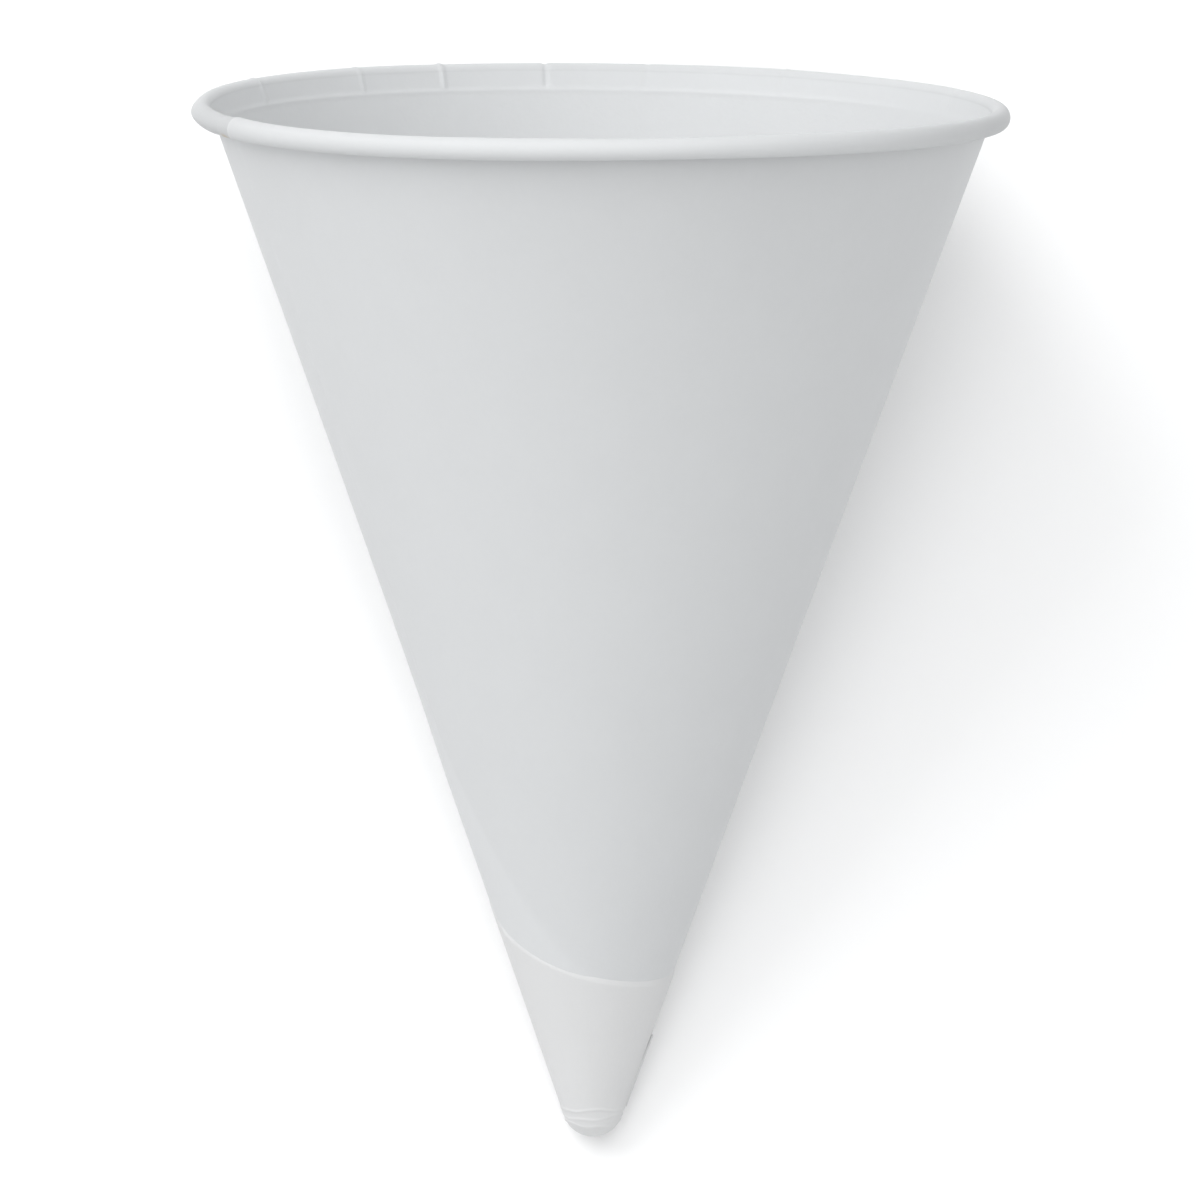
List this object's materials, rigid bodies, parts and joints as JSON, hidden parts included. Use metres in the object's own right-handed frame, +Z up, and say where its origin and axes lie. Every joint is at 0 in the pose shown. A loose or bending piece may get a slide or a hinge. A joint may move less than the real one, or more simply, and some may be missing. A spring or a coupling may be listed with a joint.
{
  "type": "cone paper cup",
  "caption": "Plain white cone-shaped paper drinking cup wound from one sheet, with a rolled rim and a closed pointed tip, lying on its side.",
  "frame": {"origin": "on the table, under the middle of the lying cup's box", "axes": "+Z up from the table; the cup lies with its mouth towards +X and its tip towards -X, and its own axis rises 20.4 degrees towards the mouth"},
  "size_m": [0.1008, 0.073, 0.0684],
  "materials": {
    "paper": "uncoated bleached white paper, matt, with a faint grain"
  },
  "bodies": {
    "root": {"cone_cup": "paper"}
  },
  "joints": []
}
